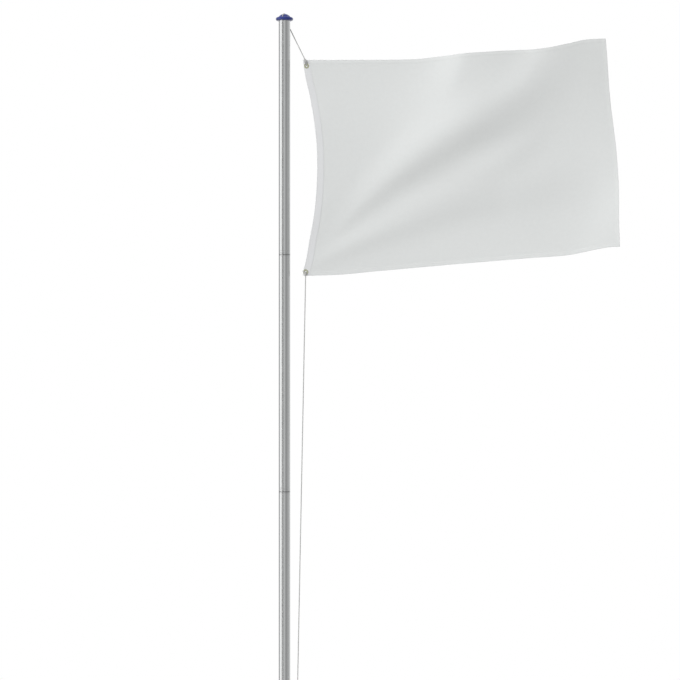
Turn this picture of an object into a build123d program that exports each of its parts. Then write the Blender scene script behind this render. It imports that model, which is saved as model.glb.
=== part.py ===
from build123d import *
import math
import os

# A sectional garden flagpole, 6.2 m tall, in its ground sleeve, with its halyard and flag.
# Millimetres, +Z up, origin at the centre of the foot's flat underside.
# The flag flies towards +X, and the cleat faces -Y.

# Tube sections, plugged together over inner joint tubes
section_count = 6
section_length = 1027.5
tube_diameter = 50.0
tube_wall = 1.5
seam_gap = 2.0
joint_length = 200.0
joint_wall = 1.5
slide_clearance = 0.2
bead_setback = 0.6
groove_heights = (7.0, 15.0)
groove_depth = 0.5
groove_width = 2.4
groove_flank = 0.6

# Ground sleeve and its foot
sleeve_height = 680.0
sleeve_wall = 1.2
lip_height = 5.0
lip_depth = 0.8
foot_floor = 4.0
boss_height = 22.0
boss_chamfer = 2.0

# Mast cap
rope_offset = 7.5
brim_overhang = 13.0
brim_thickness = 15.0
brim_round = 6.5
dome_height = 15.0
plug_length = 26.0
plug_chamfer = 2.0
cap_turn = 17.5
channel_margin = 0.9
channel_web = 0.3

# Halyard
rope_diameter = 5.0
knot_length = 14.0
knot_diameter = 12.0
knot_neck = 8.0
loop_width = 12.0

# Cleat, on the front of the lowest section
cleat_above_sleeve = 207.0
cleat_length = 84.0
cleat_width = 14.0
horn_tip_width = 8.0
base_length = 46.0
base_rise = 3.0
neck_length = 24.0
neck_rise = 13.0
neck_round = 3.0
horn_thickness = 7.0
horn_lift = 2.0
horn_round = 2.4
horn_crown = 2.5
hitch_width = 34.0
hitch_length = 48.0
hitch_round = 5.0
hitch_headroom = 2.6

# Flag, set out from the corners of its hoist
flag_drop = 179.0
flag_gap = 78.0
hoist_length = 941.0
fly_length = 908.0
flag_reach = 1320.0
fly_rise = 93.0
fly_lean = 60.0
corner_round = 14.0
cloth_thickness = 2.0
hoist_y = 20.0
wave_height = 75.0
wave_count = 1.75
wave_calm = 0.67
wave_margin = 60.0
wave_steps = 24

# How far each edge bows out of the flag: shares of the way along it, clockwise, and distances
top_bow = [(0.35, -32.0), (0.63, -21.0), (0.86, -14.0)]
fly_bow = [(0.5, 12.0)]
bottom_bow = [(0.18, 15.0), (0.5, 11.0)]
hoist_bow = [(0.2, -37.0), (0.53, -64.0), (0.83, -32.0)]

# Eyelets, in the hoist corners
eyelet_hole = 11.0
eyelet_rim = 22.0
eyelet_wall = 1.2
eyelet_sheet = 0.8
cloth_clearance = 0.3
upper_eyelet_inset = (17.5, -27.0)
lower_eyelet_inset = (13.5, 16.6)

# Routes of the halyard, as chosen points
hoist_route = [
    (-11.0, -32.5, 911.3),
    (-9.8, -31.0, 6172.7),
    (-7.2, -22.7, 6187.8),
    (-2.6, -8.3, 6196.5),
    (2.6, 8.3, 6196.5),
    (7.2, 22.7, 6187.8),
    (9.8, 31.0, 6172.7),
    (9.8, 31.0, 6163.0),
    (83.1, 21.4, 6013.9),
]
downhaul_route = [(91.2, 19.9, 5040.0), (11.0, -32.5, 911.4)]

# Sizes that follow from those above
tube_radius = tube_diameter / 2
bore_radius = tube_radius - tube_wall
joint_radius = bore_radius - slide_clearance
rope_radius = rope_diameter / 2
sleeve_bore = tube_radius + slide_clearance
sleeve_radius = sleeve_bore + sleeve_wall
tube_top = foot_floor + section_count * section_length + (section_count - 1) * seam_gap
cap_seat_radius = tube_radius + slide_clearance
dome_radius = tube_radius + rope_offset
channel_half = rope_radius + channel_margin
channel_reach = cap_seat_radius + channel_half + channel_web
dome_centre = tube_top - math.sqrt(dome_radius ** 2 - channel_reach ** 2)
dome_top = dome_centre + dome_radius
brim_top = dome_top - dome_height
brim_low = brim_top - brim_thickness
brim_radius = tube_radius + brim_overhang
cleat_height = sleeve_height + cleat_above_sleeve
top_hoist = Vector(flag_gap, 0, tube_top - flag_drop)
bottom_hoist = top_hoist - Vector(0, 0, hoist_length)
top_fly = top_hoist + Vector(flag_reach, 0, fly_rise)
bottom_fly = top_fly + Vector(fly_lean, 0, -fly_length)
upper_eyelet_place = top_hoist + Vector(upper_eyelet_inset[0], hoist_y, upper_eyelet_inset[1])
lower_eyelet_place = bottom_hoist + Vector(lower_eyelet_inset[0], hoist_y, lower_eyelet_inset[1])


def pipe(outer, inner, low, high):
    # A round tube about the Z axis.
    wall = Cylinder(outer, high - low) - Cylinder(inner, high - low)
    return Pos(0, 0, (low + high) / 2) * wall


def turned(*outline):
    # A solid of revolution about the Z axis, from a closed outline in radius and height.
    return revolve(make_face(Plane.XZ * Polyline(*outline, outline[0])), Axis.Z)


def section_low(index):
    # The height at which a tube section starts, counted from the foot.
    return foot_floor + index * (section_length + seam_gap)


def groove(height):
    # The ring that a rolled groove takes out of a tube: sloped flanks and a flat bottom.
    half = groove_width / 2
    floor = tube_radius - groove_depth
    return turned(
        (tube_radius + groove_depth, height - half - groove_flank), (floor, height - half + groove_flank),
        (floor, height + half - groove_flank), (tube_radius + groove_depth, height + half + groove_flank),
    )


def pole_section(index):
    # A drawn tube. All but the lowest have two rolled grooves that grip the joint tube.
    low = section_low(index)
    tube = pipe(tube_radius, bore_radius, low, low + section_length)
    if index > 0:
        for height in groove_heights:
            tube -= groove(low + height)
    return tube


def joint_tube(index):
    # The inner tube of a joint, with a bead at its middle that keeps two sections apart.
    middle = section_low(index) - seam_gap / 2
    half = joint_length / 2
    inner = joint_radius - joint_wall
    tube = pipe(joint_radius, inner, middle - half, middle + half)
    bead = pipe(tube_radius - bead_setback, inner, middle - seam_gap / 2, middle + seam_gap / 2)
    return tube + bead


def ground_sleeve():
    # The green tube that is set in the ground, with a bevelled lip round its mouth.
    tube = pipe(sleeve_radius, sleeve_bore, foot_floor, sleeve_height)
    lip = pipe(sleeve_radius + lip_depth, sleeve_bore, sleeve_height - lip_height, sleeve_height)
    lip = chamfer(lip.edges().filter_by(GeomType.CIRCLE).sort_by(SortBy.RADIUS)[-2:], lip_depth / 2)
    return tube + lip


def sleeve_foot():
    # A closed disc under the sleeve, with a boss that centres the lowest section.
    disc = Pos(0, 0, foot_floor / 2) * Cylinder(sleeve_radius, foot_floor)
    boss = Pos(0, 0, foot_floor + boss_height / 2) * Cylinder(joint_radius, boss_height)
    boss = chamfer(boss.edges().sort_by(Axis.Z)[-1], boss_chamfer)
    return disc + boss


def mast_cap():
    # A turned mushroom cap: a plug in the tube, a thick round-edged brim and a low dome.
    # A round-bottomed channel lets the rope pass up through the brim and over the dome.
    plug_low = tube_top - plug_length
    brim_middle = (brim_low + brim_top) / 2
    brim_flat = brim_radius - brim_round
    dome_foot = math.sqrt(dome_radius ** 2 - (brim_top - dome_centre) ** 2)
    slope = math.atan2(brim_top - dome_centre, dome_foot)
    crown = (slope + math.pi / 2) / 2
    crown_point = (dome_radius * math.cos(crown), dome_centre + dome_radius * math.sin(crown))
    bend = brim_round * (1 - math.cos(math.radians(50)))
    outline = [
        Polyline(
            (0, dome_top), (0, plug_low), (joint_radius - plug_chamfer, plug_low),
            (joint_radius, plug_low + plug_chamfer), (joint_radius, tube_top),
            (cap_seat_radius, tube_top), (cap_seat_radius, brim_low), (brim_flat, brim_low),
        ),
        ThreePointArc(
            (brim_flat, brim_low), (brim_radius - bend, brim_low + bend), (brim_radius, brim_middle),
        ),
        ThreePointArc(
            (brim_radius, brim_middle), (brim_radius - bend, brim_top - bend), (brim_flat, brim_top),
        ),
        Line((brim_flat, brim_top), (dome_foot, brim_top)),
        ThreePointArc((dome_foot, brim_top), crown_point, (0, dome_top)),
    ]
    cap = revolve(make_face([Plane.XZ * piece for piece in outline]), Axis.Z)
    ring = Cylinder(dome_radius + channel_half, 2 * channel_half)
    ring -= Cylinder(dome_radius - channel_half, 2 * channel_half)
    channel = Rot(0, 90, 0) * ring
    return cap - Pos(0, 0, dome_centre) * Rot(0, 0, -cap_turn) * channel


def corner_radii(points):
    # Each corner's arc takes 0.45 of its shorter run on either side.
    radii = []
    for before, corner, after in zip(points, points[1:], points[2:]):
        arriving = Vector(corner) - Vector(before)
        leaving = Vector(after) - Vector(corner)
        half_turn = math.radians(arriving.get_angle(leaving)) / 2
        radii.append(0.45 * min(arriving.length, leaving.length) / math.tan(half_turn))
    return radii


def rope(name, points):
    # A plain round cord along a route: straight runs joined by arcs.
    radii = corner_radii(points)
    path = FilletPolyline(*points, radius=radii) if radii else Line(*points)
    start = Plane(origin=path @ 0, z_dir=path % 0)
    cord = sweep(start * Circle(rope_radius), path=path)
    print(name, "radii", [round(radius, 1) for radius in radii])
    print(name, "length", round(path.length, 1), "volume share",
          round(cord.volume / (math.pi * rope_radius ** 2 * path.length), 4))
    return cord


def knot(rope_end, rope_before, eyelet_place):
    # A tight knot on the rope's end, and the six-sided loop that it ties through an eyelet.
    end = Vector(rope_end)
    along = (end - Vector(rope_before)).normalized()
    middle = end + along * (knot_length / 2)
    shoulder = knot_length / 4
    barrel = turned(
        (0, -knot_length / 2), (knot_neck / 2, -knot_length / 2),
        (knot_diameter / 2, -shoulder), (knot_diameter / 2, shoulder),
        (knot_neck / 2, knot_length / 2), (0, knot_length / 2),
    )
    barrel = Plane(origin=middle, z_dir=along) * barrel
    up = Vector(middle.X - eyelet_place.X, 0, middle.Z - eyelet_place.Z)
    crook = eyelet_hole / 2 - rope_radius - cloth_clearance
    loop_plane = Plane(
        origin=eyelet_place + up.normalized() * crook, x_dir=(0, 1, 0),
        z_dir=Vector(0, 1, 0).cross(up.normalized()),
    )
    half = loop_width / 2
    rise = up.length - crook
    legs = FilletPolyline((-half, rise), (-half, 0), (half, 0), (half, rise), radius=half / 1.5)
    legs = loop_plane * legs
    section = Plane(origin=legs @ 0, z_dir=legs % 0) * RegularPolygon(rope_radius, 6)
    return barrel + sweep(section, path=legs)


def symmetric(corners, radii):
    # A face from the rounded corners of its upper half, which its lower half repeats.
    lower = [(across, -up) for across, up in reversed(corners)]
    return make_face(FilletPolyline(*corners, *lower, radius=[*radii, *reversed(radii)], close=True))


def cleat():
    # A two-horned cleat on a saddle that fits the tube: its side, front and top views, crossed.
    tip = cleat_length / 2
    neck = neck_length / 2
    base = base_length / 2
    half = cleat_width / 2
    lip = neck_rise + horn_thickness
    side = symmetric(
        [(-tube_radius, base), (base_rise, base), (base_rise, neck),
         (neck_rise, neck), (neck_rise + horn_lift, tip), (lip, tip)],
        [base_rise / 2, base_rise / 2, neck_round, neck_round, horn_round, horn_round],
    )
    side = Plane(origin=(0, -tube_radius, cleat_height), x_dir=(0, -1, 0), z_dir=(1, 0, 0)) * side
    front = symmetric(
        [(-half, base), (-horn_tip_width / 2, tip), (horn_tip_width / 2, tip), (half, base)],
        [base / 2, horn_round, horn_round, base / 2],
    )
    front = Plane(origin=(0, 0, cleat_height), x_dir=(1, 0, 0), z_dir=(0, -1, 0)) * front
    front_y = -tube_radius - lip
    crown = ThreePointArc((-half, front_y + horn_crown), (0, front_y), (half, front_y + horn_crown))
    plan = make_face([crown, Polyline(crown @ 1, (half, 0), (-half, 0), crown @ 0)])
    body = extrude(side, cleat_width, both=True) & extrude(front, tube_radius + lip)
    body &= extrude(Pos(0, 0, cleat_height) * plan, cleat_length, both=True)
    return body - Pos(0, 0, cleat_height) * Cylinder(tube_radius, 2 * cleat_length)


def cleat_hitch():
    # The turns of rope made fast round the cleat's neck, as the one form that they fill.
    low = base_rise + cloth_clearance
    high = neck_rise - hitch_headroom
    pad = RectangleRounded(hitch_width, hitch_length, hitch_round)
    pad -= Rectangle(cleat_width + 2 * cloth_clearance, neck_length + 2 * neck_round)
    start = Plane(origin=(0, -tube_radius - low, cleat_height), x_dir=(1, 0, 0), z_dir=(0, -1, 0))
    return extrude(start * pad, high - low)


def cloth_wave(distance):
    # Sideways place of the cloth: flat at the eyelets, then waving wider towards the fly.
    share = max(0.0, distance / (flag_reach + fly_lean))
    growth = min(1.0, share / wave_calm) ** 2
    return hoist_y - wave_height * growth * math.sin(2 * math.pi * wave_count * share)


def bowed(start, end, bow):
    # One edge of the flag, going clockwise: a curve through points set outwards, square to its chord.
    chord = end - start
    square = Vector(-chord.Z, 0, chord.X).normalized()
    return Spline([start, *[start + chord * share + square * offset for share, offset in bow], end])


def flag_cloth():
    # The sheet's plan is a wave swept straight up, cut to the flag's outline.
    low_x = flag_gap - wave_margin
    high_x = bottom_fly.X + wave_margin
    places = [low_x + (high_x - low_x) * step / wave_steps for step in range(wave_steps + 1)]
    middle = [(x, cloth_wave(x - flag_gap)) for x in places]
    half = cloth_thickness / 2
    near = Spline([(x, y - half) for x, y in middle])
    far = Spline([(x, y + half) for x, y in middle])
    ribbon = make_face([near, far, Line(near @ 0, far @ 0), Line(near @ 1, far @ 1)])
    low_z = bottom_hoist.Z - wave_margin
    ribbon = extrude(Pos(0, 0, low_z) * ribbon, top_fly.Z - low_z + wave_margin)
    outline = make_face([
        bowed(bottom_fly, bottom_hoist, bottom_bow),
        bowed(bottom_hoist, top_hoist, hoist_bow),
        bowed(top_hoist, top_fly, top_bow),
        bowed(top_fly, bottom_fly, fly_bow),
    ])
    outline = fillet(outline.vertices().sort_by(Axis.X)[:2], corner_round)
    cloth = ribbon & extrude(outline, 2 * wave_height + wave_margin, both=True)
    for place in (upper_eyelet_place, lower_eyelet_place):
        bore = Cylinder(eyelet_hole / 2 + eyelet_wall + cloth_clearance, eyelet_rim)
        cloth -= Pos(place) * Rot(90, 0, 0) * bore
    return cloth


def eyelet(place):
    # A brass eyelet: a short tube through the cloth with a rim spread on either side.
    gap = cloth_thickness / 2 + cloth_clearance
    height = 2 * (gap + eyelet_sheet)
    shift = gap + eyelet_sheet / 2
    rim = Cylinder(eyelet_rim / 2, eyelet_sheet)
    body = Cylinder(eyelet_hole / 2 + eyelet_wall, height)
    body += Pos(0, 0, shift) * rim + Pos(0, 0, -shift) * rim
    body -= Cylinder(eyelet_hole / 2, height)
    return Pos(place) * Rot(90, 0, 0) * body


pieces = {
    "sleeve_foot": sleeve_foot(),
    "ground_sleeve": ground_sleeve(),
    "mast_cap": mast_cap(),
    "halyard_hoist": rope("halyard_hoist", hoist_route),
    "halyard_downhaul": rope("halyard_downhaul", downhaul_route),
    "upper_knot": knot(hoist_route[-1], hoist_route[-2], upper_eyelet_place),
    "lower_knot": knot(downhaul_route[0], downhaul_route[1], lower_eyelet_place),
    "cleat": cleat(),
    "cleat_hitch": cleat_hitch(),
    "flag_cloth": flag_cloth(),
    "upper_eyelet": eyelet(upper_eyelet_place),
    "lower_eyelet": eyelet(lower_eyelet_place),
}
for number in range(section_count):
    pieces[f"pole_section_{number + 1}"] = pole_section(number)
for number in range(1, section_count):
    pieces[f"joint_tube_{number}"] = joint_tube(number)

os.makedirs("parts", exist_ok=True)
for name, shape in pieces.items():
    export_step(shape, f"parts/{name}.step")
print("wrote", len(pieces), "pieces")
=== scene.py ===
import math
import bpy
import numpy as np
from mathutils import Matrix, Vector


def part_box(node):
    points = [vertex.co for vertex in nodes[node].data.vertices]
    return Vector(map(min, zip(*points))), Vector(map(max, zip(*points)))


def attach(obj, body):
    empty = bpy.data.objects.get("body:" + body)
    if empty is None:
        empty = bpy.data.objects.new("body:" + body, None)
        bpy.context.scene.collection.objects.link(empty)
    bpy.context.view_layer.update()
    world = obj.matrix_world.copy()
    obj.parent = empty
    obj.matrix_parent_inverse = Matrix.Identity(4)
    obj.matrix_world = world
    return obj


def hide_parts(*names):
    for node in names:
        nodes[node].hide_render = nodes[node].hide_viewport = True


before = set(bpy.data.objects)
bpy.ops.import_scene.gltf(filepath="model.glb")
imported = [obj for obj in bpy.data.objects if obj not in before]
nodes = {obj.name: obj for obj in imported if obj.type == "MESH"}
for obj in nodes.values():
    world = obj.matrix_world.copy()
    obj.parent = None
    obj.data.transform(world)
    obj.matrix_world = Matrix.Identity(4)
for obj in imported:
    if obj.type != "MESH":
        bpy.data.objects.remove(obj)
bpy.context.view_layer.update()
mm = 0.001


# Small helpers for meshes

def smoothStep(share):
    # Rises from 0 to 1 with level ends: 3x^2 - 2x^3, held outside that range.
    x = np.clip(share, 0.0, 1.0)
    return x * x * (3.0 - 2.0 * x)


def gridQuads(rows, columns, wrap=False):
    # Corner numbers of each cell in a grid of points, row by row. A wrapped grid closes on its first column.
    row = np.arange(rows - 1)[:, None]
    column = np.arange(columns if wrap else columns - 1)[None, :]
    after = (column + 1) % columns
    quads = np.stack([row * columns + column, row * columns + after,
                      (row + 1) * columns + after, (row + 1) * columns + column], axis=-1)
    return quads.reshape(-1, 4)


def fanFaces(middle, near, after):
    # Triangles from one middle corner to the pairs of corners of a ring.
    return np.stack([np.full_like(near, middle), near, after], axis=1).tolist()


def meshPiece(name, points, faces, material, uv=None):
    # A new object at the origin, with its place in its mesh. uv holds one pair for each face corner.
    mesh = bpy.data.meshes.new(name)
    mesh.from_pydata(np.asarray(points).tolist(), [], faces if isinstance(faces, list) else faces.tolist())
    if uv is not None:
        layer = mesh.uv_layers.new(name="clothUv")
        layer.data.foreach_set("uv", np.asarray(uv, float).ravel())
    mesh.polygons.foreach_set("use_smooth", np.ones(len(mesh.polygons), bool))
    mesh.materials.append(material)
    mesh.update()
    piece = bpy.data.objects.new(name, mesh)
    bpy.context.scene.collection.objects.link(piece)
    return piece


def unit(vectors):
    return vectors / np.maximum(np.linalg.norm(vectors, axis=-1, keepdims=True), 1e-12)


def evenly(line, step):
    # The line again, with points one step apart along its length.
    run = np.concatenate([[0.0], np.cumsum(np.linalg.norm(np.diff(line, axis=0), axis=1))])
    at = np.linspace(0.0, run[-1], max(8, int(round(run[-1] / step))))
    return np.stack([np.interp(at, run, line[:, axis]) for axis in range(3)], axis=1), at


# Small helpers for materials

def addNode(tree, kind, inputs=None, **values):
    node = tree.nodes.new(kind)
    for key, value in values.items():
        setattr(node, key, value)
    for key, value in (inputs or {}).items():
        node.inputs[key].default_value = value
    return node


def wire(tree, source, target):
    tree.links.new(source, target)


def newGroup(name, inputs, outputs):
    # A shader node group whose sockets are plain values.
    group = bpy.data.node_groups.new(name, "ShaderNodeTree")
    for label, value in inputs.items():
        socket = group.interface.new_socket(label, in_out="INPUT", socket_type="NodeSocketFloat")
        socket.default_value = value
    for label in outputs:
        group.interface.new_socket(label, in_out="OUTPUT", socket_type="NodeSocketFloat")
    return group, group.nodes.new("NodeGroupInput"), group.nodes.new("NodeGroupOutput")


def useGroup(tree, group, **values):
    node = tree.nodes.new("ShaderNodeGroup")
    node.node_tree = group
    for label, value in values.items():
        node.inputs[label].default_value = value
    return node


def newMaterial(name, **sockets):
    # A material with one Principled shader. Plain numbers and colours go on its own sockets.
    material = bpy.data.materials.new(name)
    material.use_nodes = True
    tree = material.node_tree
    shader = tree.nodes["Principled BSDF"]
    for label, value in sockets.items():
        shader.inputs[label.replace("_", " ")].default_value = value
    return material, tree, shader


def shadeFrom(colour, share):
    # The colour made lighter or darker, held at 1.
    return tuple(min(1.0, part * share) for part in colour[:3]) + (1.0,)


def bumpFrom(tree, shader, height, strength, distance):
    bump = addNode(tree, "ShaderNodeBump", {"Strength": strength, "Distance": distance})
    wire(tree, height, bump.inputs["Height"])
    wire(tree, bump.outputs["Normal"], shader.inputs["Normal"])


def mixColour(tree, mask, first, second):
    mix = addNode(tree, "ShaderNodeMix", data_type="RGBA")
    for socket, value in ((mix.inputs["A"], first), (mix.inputs["B"], second)):
        if isinstance(value, tuple):
            socket.default_value = value
        else:
            wire(tree, value, socket)
    wire(tree, mask, mix.inputs["Factor"])
    return mix.outputs["Result"]


def mathOf(tree, operation, *values, clamp=False):
    # One sum on sockets and plain numbers.
    node = addNode(tree, "ShaderNodeMath", operation=operation, use_clamp=clamp)
    for socket, value in zip(node.inputs, values):
        if isinstance(value, float):
            socket.default_value = value
        else:
            wire(tree, value, socket)
    return node.outputs["Value"]


def noiseOn(tree, vector, **inputs):
    noise = addNode(tree, "ShaderNodeTexNoise", inputs)
    wire(tree, vector, noise.inputs["Vector"])
    return noise.outputs["Fac"]


def anyOf(tree, masks):
    # 1 where one of the masks is 1.
    found = masks[0]
    for mask in masks[1:]:
        found = mathOf(tree, "MAXIMUM", found, mask)
    return found


def rangeOf(tree, value, low, high):
    # Takes a mask from 0..1 to low..high.
    node = addNode(tree, "ShaderNodeMapRange", {"To Min": low, "To Max": high})
    wire(tree, value, node.inputs["Value"])
    return node.outputs["Result"]


def setStops(ramp, greys):
    # Greys along a colour ramp, each with its place from 0 to 1.
    stops = ramp.color_ramp.elements
    while len(stops) < len(greys):
        stops.new(0.5)
    for stop, (place, level) in zip(stops, greys):
        stop.position = place
        stop.color = (level, level, level, 1.0)


# Effects that several materials share

def drawnLinesGroup():
    # Long fine lines left by drawing or extruding: noise that is stretched along Z.
    group, enter, leave = newGroup("drawnLines", {"Across": 900.0, "Along": 3.0}, ("Lines", "Cloud"))
    place = addNode(group, "ShaderNodeTexCoord")
    scale = addNode(group, "ShaderNodeCombineXYZ")
    for axis, label in (("X", "Across"), ("Y", "Across"), ("Z", "Along")):
        wire(group, enter.outputs[label], scale.inputs[axis])
    stretched = addNode(group, "ShaderNodeVectorMath", operation="MULTIPLY")
    wire(group, place.outputs["Object"], stretched.inputs[0])
    wire(group, scale.outputs["Vector"], stretched.inputs[1])
    lines = noiseOn(group, stretched.outputs["Vector"], Scale=1.0, Detail=3.0, Roughness=0.6)
    cloud = noiseOn(group, place.outputs["Object"], Scale=6.0, Detail=4.0)
    wire(group, lines, leave.inputs["Lines"])
    wire(group, cloud, leave.inputs["Cloud"])
    return group


def speckGroup():
    # Scattered specks of dust: the dark end of a fine noise, thinned by a coarse one.
    group, enter, leave = newGroup("dustSpecks", {"Scale": 700.0, "Amount": 0.3}, ("Specks", "Mottle"))
    place = addNode(group, "ShaderNodeTexCoord")
    fine = addNode(group, "ShaderNodeTexNoise", {"Detail": 2.0})
    wire(group, place.outputs["Object"], fine.inputs["Vector"])
    wire(group, enter.outputs["Scale"], fine.inputs["Scale"])
    coarse = noiseOn(group, place.outputs["Object"], Scale=18.0, Detail=3.0)
    cut = addNode(group, "ShaderNodeMapRange", {"From Min": 0.62, "From Max": 0.72})
    wire(group, fine.outputs["Fac"], cut.inputs["Value"])
    thin = mathOf(group, "MULTIPLY", cut.outputs["Result"], coarse)
    gain = mathOf(group, "MULTIPLY", thin, enter.outputs["Amount"], clamp=True)
    wire(group, gain, leave.inputs["Specks"])
    wire(group, coarse, leave.inputs["Mottle"])
    return group


def weaveGroup():
    # Plain weave on the piece's own map: two sets of threads, each a sine, that pass over each other.
    group, enter, leave = newGroup("plainWeave", {"Threads": 900.0}, ("Height", "Slub"))
    place = addNode(group, "ShaderNodeUVMap", uv_map="clothUv")
    split = addNode(group, "ShaderNodeSeparateXYZ")
    wire(group, place.outputs["UV"], split.inputs["Vector"])
    waves = []
    for axis in ("X", "Y"):
        turns = mathOf(group, "MULTIPLY", split.outputs[axis], enter.outputs["Threads"])
        waves.append(mathOf(group, "SINE", mathOf(group, "MULTIPLY", turns, 2.0 * math.pi)))
    slub = noiseOn(group, place.outputs["UV"], Scale=60.0, Detail=4.0)
    wire(group, mathOf(group, "MULTIPLY", *waves), leave.inputs["Height"])
    wire(group, slub, leave.inputs["Slub"])
    return group


drawnLines = drawnLinesGroup()
dustSpecks = speckGroup()
plainWeave = weaveGroup()


# The camera, and then the cords

camera = {"place": (0.2413, -9.6, 4.779), "lens": 116.9, "sensor": 36.0}


def makeCamera(size):
    # Level, and looking along +Y.
    lens = bpy.data.cameras.new("camera")
    lens.lens = size["lens"]
    lens.sensor_width = size["sensor"]
    lens.clip_end = 200.0
    seen = bpy.data.objects.new("camera", lens)
    seen.location = size["place"]
    seen.rotation_euler = (math.pi / 2, 0.0, 0.0)
    bpy.context.scene.collection.objects.link(seen)
    bpy.context.scene.camera = seen


makeCamera(camera)
print("camera made")

halyard = {
    "diameter": 5.0 * mm,
    "step": 2.6 * mm,        # between two rings of the rope's mesh
    "knotStep": 1.3 * mm,
    "sides": 15,
    "strands": 3,
    "lay": 17.0 * mm,        # length of one full twist
    "valley": 1.45,          # floor of the grooves between strands: strand radii from the rope's line
    "colour": (0.52, 0.52, 0.515, 1.0),
}

# Route points in metres, in the order from the cleat
hoistRoute = [
    (-0.0110, -0.0325, 0.9113),
    (-0.0098, -0.0310, 6.1427),
    (-0.0098, -0.0310, 6.1727),
    (-0.0072, -0.0227, 6.1878),
    (-0.0026, -0.0083, 6.1965),
    (0.0026, 0.0083, 6.1965),
    (0.0072, 0.0227, 6.1878),
    (0.0098, 0.0310, 6.1727),
    (0.0098, 0.0310, 6.1630),
    (0.0235, 0.0278, 6.1347),
    (0.0868, 0.0115, 6.0040),
]
downhaulRoute = [(0.0914, 0.0115, 5.0500), (0.0110, -0.0325, 0.9114)]


def splineLine(name, route):
    # A smooth curve with the route's points as its control points, read back as a fine line.
    curve = bpy.data.curves.new(name, "CURVE")
    curve.dimensions = "3D"
    spline = curve.splines.new("NURBS")
    spline.points.add(len(route) - 1)
    spline.points.foreach_set("co", np.hstack([np.array(route), np.ones((len(route), 1))]).ravel())
    spline.order_u = min(3, len(route))
    spline.use_endpoint_u = True
    spline.resolution_u = 24
    holder = bpy.data.objects.new(name, curve)
    mesh = bpy.data.meshes.new_from_object(holder)
    line = np.zeros(len(mesh.vertices) * 3)
    mesh.vertices.foreach_get("co", line)
    bpy.data.meshes.remove(mesh)
    bpy.data.objects.remove(holder)
    bpy.data.curves.remove(curve)
    return line.reshape(-1, 3)


def rollFree(along):
    # Sideways directions that follow the line without twisting: each is the last one made square again.
    side = np.zeros_like(along)
    seed = np.cross(along[0], (1.0, 0.0, 0.0))
    if np.linalg.norm(seed) < 0.1:
        seed = np.cross(along[0], (0.0, 1.0, 0.0))
    side[0] = seed / np.linalg.norm(seed)
    for ring in range(1, len(along)):
        turned = side[ring - 1] - along[ring] * side[ring - 1].dot(along[ring])
        side[ring] = turned / np.linalg.norm(turned)
    return side


def laidRope(name, line, rope, material, step):
    # Three strands laid together. Round the line, the outline is three circles that touch, turned by
    # one full twist for each lay length: radius = c cos(a) + sqrt(s^2 - c^2 sin^2(a)), where s is a
    # strand's radius, c its distance from the line and a the angle from the nearest strand.
    points, at = evenly(line, step)
    along = unit(np.gradient(points, axis=0))
    side = rollFree(along)
    up = np.cross(along, side)
    turn = 2.0 * math.pi / rope["strands"]
    around = np.arange(rope["sides"]) * 2.0 * math.pi / rope["sides"]
    strand = rope["diameter"] / 2 / (1 + 1 / math.sin(turn / 2))
    away = strand / math.sin(turn / 2)
    offset = np.mod(around + turn / 2, turn) - turn / 2
    radius = away * np.cos(offset) + np.sqrt(np.maximum(strand ** 2 - (away * np.sin(offset)) ** 2, 0.0))
    radius = np.maximum(radius, rope["valley"] * strand)
    near = np.clip(np.minimum(at, at[-1] - at) / (rope["diameter"] / 2), 0.0, 1.0)
    end = np.sqrt(np.clip(1.0 - (1.0 - near) ** 2, 0.03, 1.0))
    angle = around[None, :] + 2.0 * math.pi * at[:, None] / rope["lay"]
    out = side[:, None, :] * np.cos(angle)[..., None] + up[:, None, :] * np.sin(angle)[..., None]
    ring = points[:, None, :] + out * (radius[None, :] * end[:, None])[..., None]
    rows, columns = len(points), rope["sides"]
    quads = gridQuads(rows, columns, wrap=True)
    first, last = rows * columns, rows * columns + 1
    near = np.arange(columns)
    after = (near + 1) % columns
    top = (rows - 1) * columns
    fans = fanFaces(first, after, near) + fanFaces(last, top + near, top + after)
    vertices = np.vstack([ring.reshape(-1, 3), points[0], points[-1]])
    row, column = np.divmod(np.arange(len(quads)), columns)
    cell = np.stack([np.stack([column + right, at[row + high] * 200.0], axis=-1)
                     for right, high in ((0, 0), (1, 0), (1, 1), (0, 1))], axis=1)
    cell[..., 0] /= columns
    capUv = np.zeros((len(fans) * 3, 2))
    return meshPiece(name, vertices, [*quads.tolist(), *fans], material,
                     np.vstack([cell.reshape(-1, 2), capUv])), points


def ropeMaterial(rope):
    # Spun fibre: light and dark filaments that run with the strands, a little grime, and a soft sheen.
    material, tree, shader = newMaterial("ropeFibre", Roughness=0.82, Sheen_Weight=0.25)
    place = addNode(tree, "ShaderNodeUVMap", uv_map="clothUv")
    scaled = addNode(tree, "ShaderNodeMapping")
    scaled.inputs["Scale"].default_value = (14.0, 0.6, 1.0)
    wire(tree, place.outputs["UV"], scaled.inputs["Vector"])
    fibre = noiseOn(tree, scaled.outputs["Vector"], Scale=1.0, Detail=3.0)
    specks = useGroup(tree, dustSpecks, Scale=300.0, Amount=0.5)
    plain = rope["colour"]
    tone = mixColour(tree, fibre, shadeFrom(plain, 0.72), shadeFrom(plain, 1.18))
    tone = mixColour(tree, specks.outputs["Specks"], tone, (0.30, 0.29, 0.27, 1.0))
    wire(tree, tone, shader.inputs["Base Color"])
    bumpFrom(tree, shader, fibre, 0.35, 0.0004)
    return material


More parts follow.
